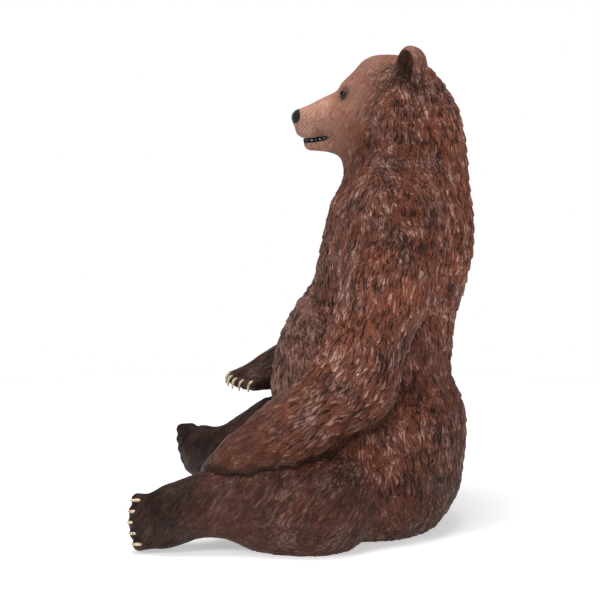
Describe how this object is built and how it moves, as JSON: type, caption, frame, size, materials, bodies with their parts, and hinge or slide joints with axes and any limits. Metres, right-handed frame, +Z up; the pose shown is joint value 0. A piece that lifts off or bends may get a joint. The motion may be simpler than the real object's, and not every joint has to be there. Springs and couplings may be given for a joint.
{
  "type": "fiberglass bear statue",
  "caption": "Life-size brown bear figure cast in resin, sitting upright with its hind legs stretched out and forepaws resting over its thighs.",
  "frame": {"origin": "centre of the figure's bounding box, on the plane that its flat underside rests on", "axes": "+Z up, -Y the way the bear faces, +X to the bear's left"},
  "size_m": [1.0216, 1.0508, 1.5208],
  "materials": {
    "painted_fur": "satin painted resin: red-brown carved fur with dark grooves and lighter tips",
    "claws": "cream paint, satin",
    "nose_and_lips": "gloss black paint",
    "eyes": "high gloss dark brown",
    "teeth": "white paint, satin"
  },
  "bodies": {
    "root": {"bear": "painted_fur"}
  },
  "joints": []
}
